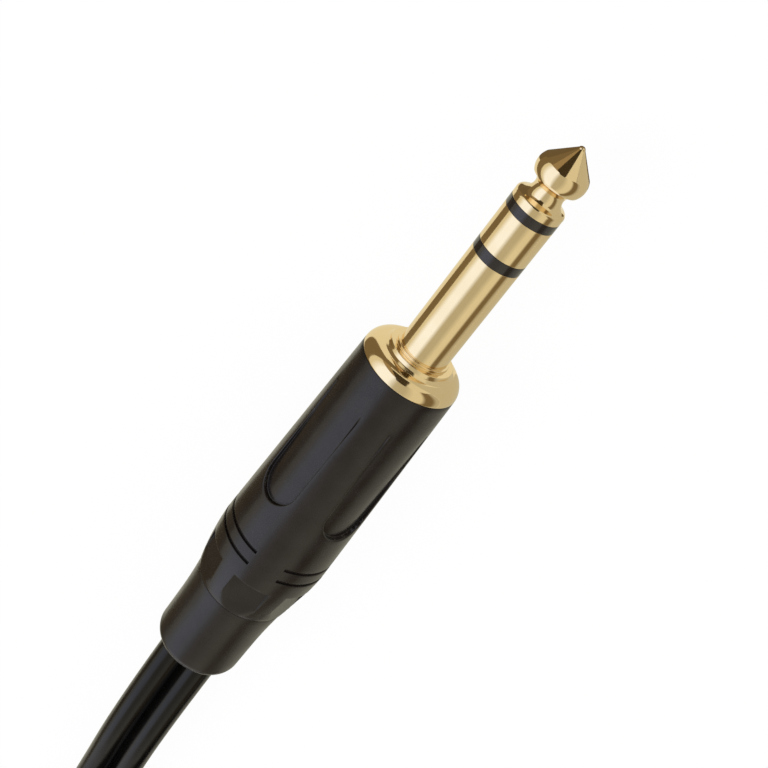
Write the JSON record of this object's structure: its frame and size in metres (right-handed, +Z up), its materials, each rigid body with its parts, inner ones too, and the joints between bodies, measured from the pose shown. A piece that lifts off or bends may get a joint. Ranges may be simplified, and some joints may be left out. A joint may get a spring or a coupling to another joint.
{
  "type": "audio cable",
  "caption": "Round stereo jack plug with a black screw-on housing, on a twin lead with phono plugs at its far ends.",
  "frame": {"origin": "on the jack's axis, where the shank leaves its hub", "axes": "+X along the jack's axis towards its tip, +Z up from the surface that the lead lies on"},
  "size_m": [0.3319, 0.0677, 0.016],
  "materials": {
    "gold": "gold-plated, polished",
    "isolator_black": "glossy black moulding",
    "housing_black": "satin black moulding",
    "boot_black": "smooth matt black",
    "jacket_black": "glossy black jacket",
    "tinned_metal": "tinned",
    "fibre": "pressed fibre",
    "tube_clear": "translucent sleeve",
    "core_red": "core insulation",
    "core_white": "core insulation",
    "copper": "bare strands",
    "insulator_white": "natural nylon",
    "shell_black": "satin black lacquer",
    "band_white": "glossy",
    "band_red": "glossy",
    "strap_black": "woven hook-and-loop"
  },
  "bodies": {
    "plug_body": {"tip_contact": "gold", "front_isolator": "isolator_black", "ring_contact": "gold", "rear_isolator": "isolator_black", "sleeve_contact": "gold", "ground_lug": "tinned_metal", "front_washer": "fibre", "ring_lug": "tinned_metal", "rear_washer": "fibre", "tip_lug": "tinned_metal", "insulating_tube": "tube_clear", "ring_wire": "core_red", "tip_wire": "core_white", "left_shield": "copper", "right_shield": "copper", "twin_cable": "jacket_black", "cable_hank": "jacket_black", "cable_tie": "strap_black", "left_tail": "jacket_black", "right_tail": "jacket_black", "rca_left_shell": "gold", "rca_left_pin": "gold", "rca_left_insulator": "insulator_white", "rca_left_lug": "tinned_metal", "rca_left_core": "core_white", "rca_right_shell": "gold", "rca_right_pin": "gold", "rca_right_insulator": "insulator_white", "rca_right_lug": "tinned_metal", "rca_right_core": "core_red"},
    "boot": {"boot": "boot_black"},
    "housing": {"housing": "housing_black"},
    "rca_left_boot": {"rca_left_boot": "boot_black"},
    "rca_left_barrel": {"rca_left_barrel": "shell_black", "rca_left_band": "band_white"},
    "rca_right_boot": {"rca_right_boot": "boot_black"},
    "rca_right_barrel": {"rca_right_barrel": "shell_black", "rca_right_band": "band_red"}
  },
  "joints": [
    {"name": "boot_slide", "type": "slide", "parent": "plug_body", "child": "boot", "axis": [-1, 0, 0], "range_m": [0, 0.005]},
    {"name": "housing_screw", "type": "hinge", "parent": "boot", "child": "housing", "pos_m": [-0.044, 0, 0], "axis": [-1, 0, 0], "range_deg": [0, 1801]},
    {"name": "rca_left_boot_slide", "type": "slide", "parent": "plug_body", "child": "rca_left_boot", "axis": [1, 0, 0], "range_m": [0, 0.004]},
    {"name": "rca_left_barrel_screw", "type": "hinge", "parent": "rca_left_boot", "child": "rca_left_barrel", "pos_m": [-0.2521, 0.0015, -0.00155], "axis": [1, 0, 0], "range_deg": [0, 1441]},
    {"name": "rca_right_boot_slide", "type": "slide", "parent": "plug_body", "child": "rca_right_boot", "axis": [1, 0, 0], "range_m": [0, 0.004]},
    {"name": "rca_right_barrel_screw", "type": "hinge", "parent": "rca_right_boot", "child": "rca_right_barrel", "pos_m": [-0.2611, -0.011, -0.00155], "axis": [1, 0, 0], "range_deg": [0, 1441]}
  ],
  "couplings": [
    {"joint": "housing_screw", "follows": "boot_slide", "rad_per_m": 6283.2},
    {"joint": "rca_left_barrel_screw", "follows": "rca_left_boot_slide", "rad_per_m": 6283.2},
    {"joint": "rca_right_barrel_screw", "follows": "rca_right_boot_slide", "rad_per_m": 6283.2}
  ]
}
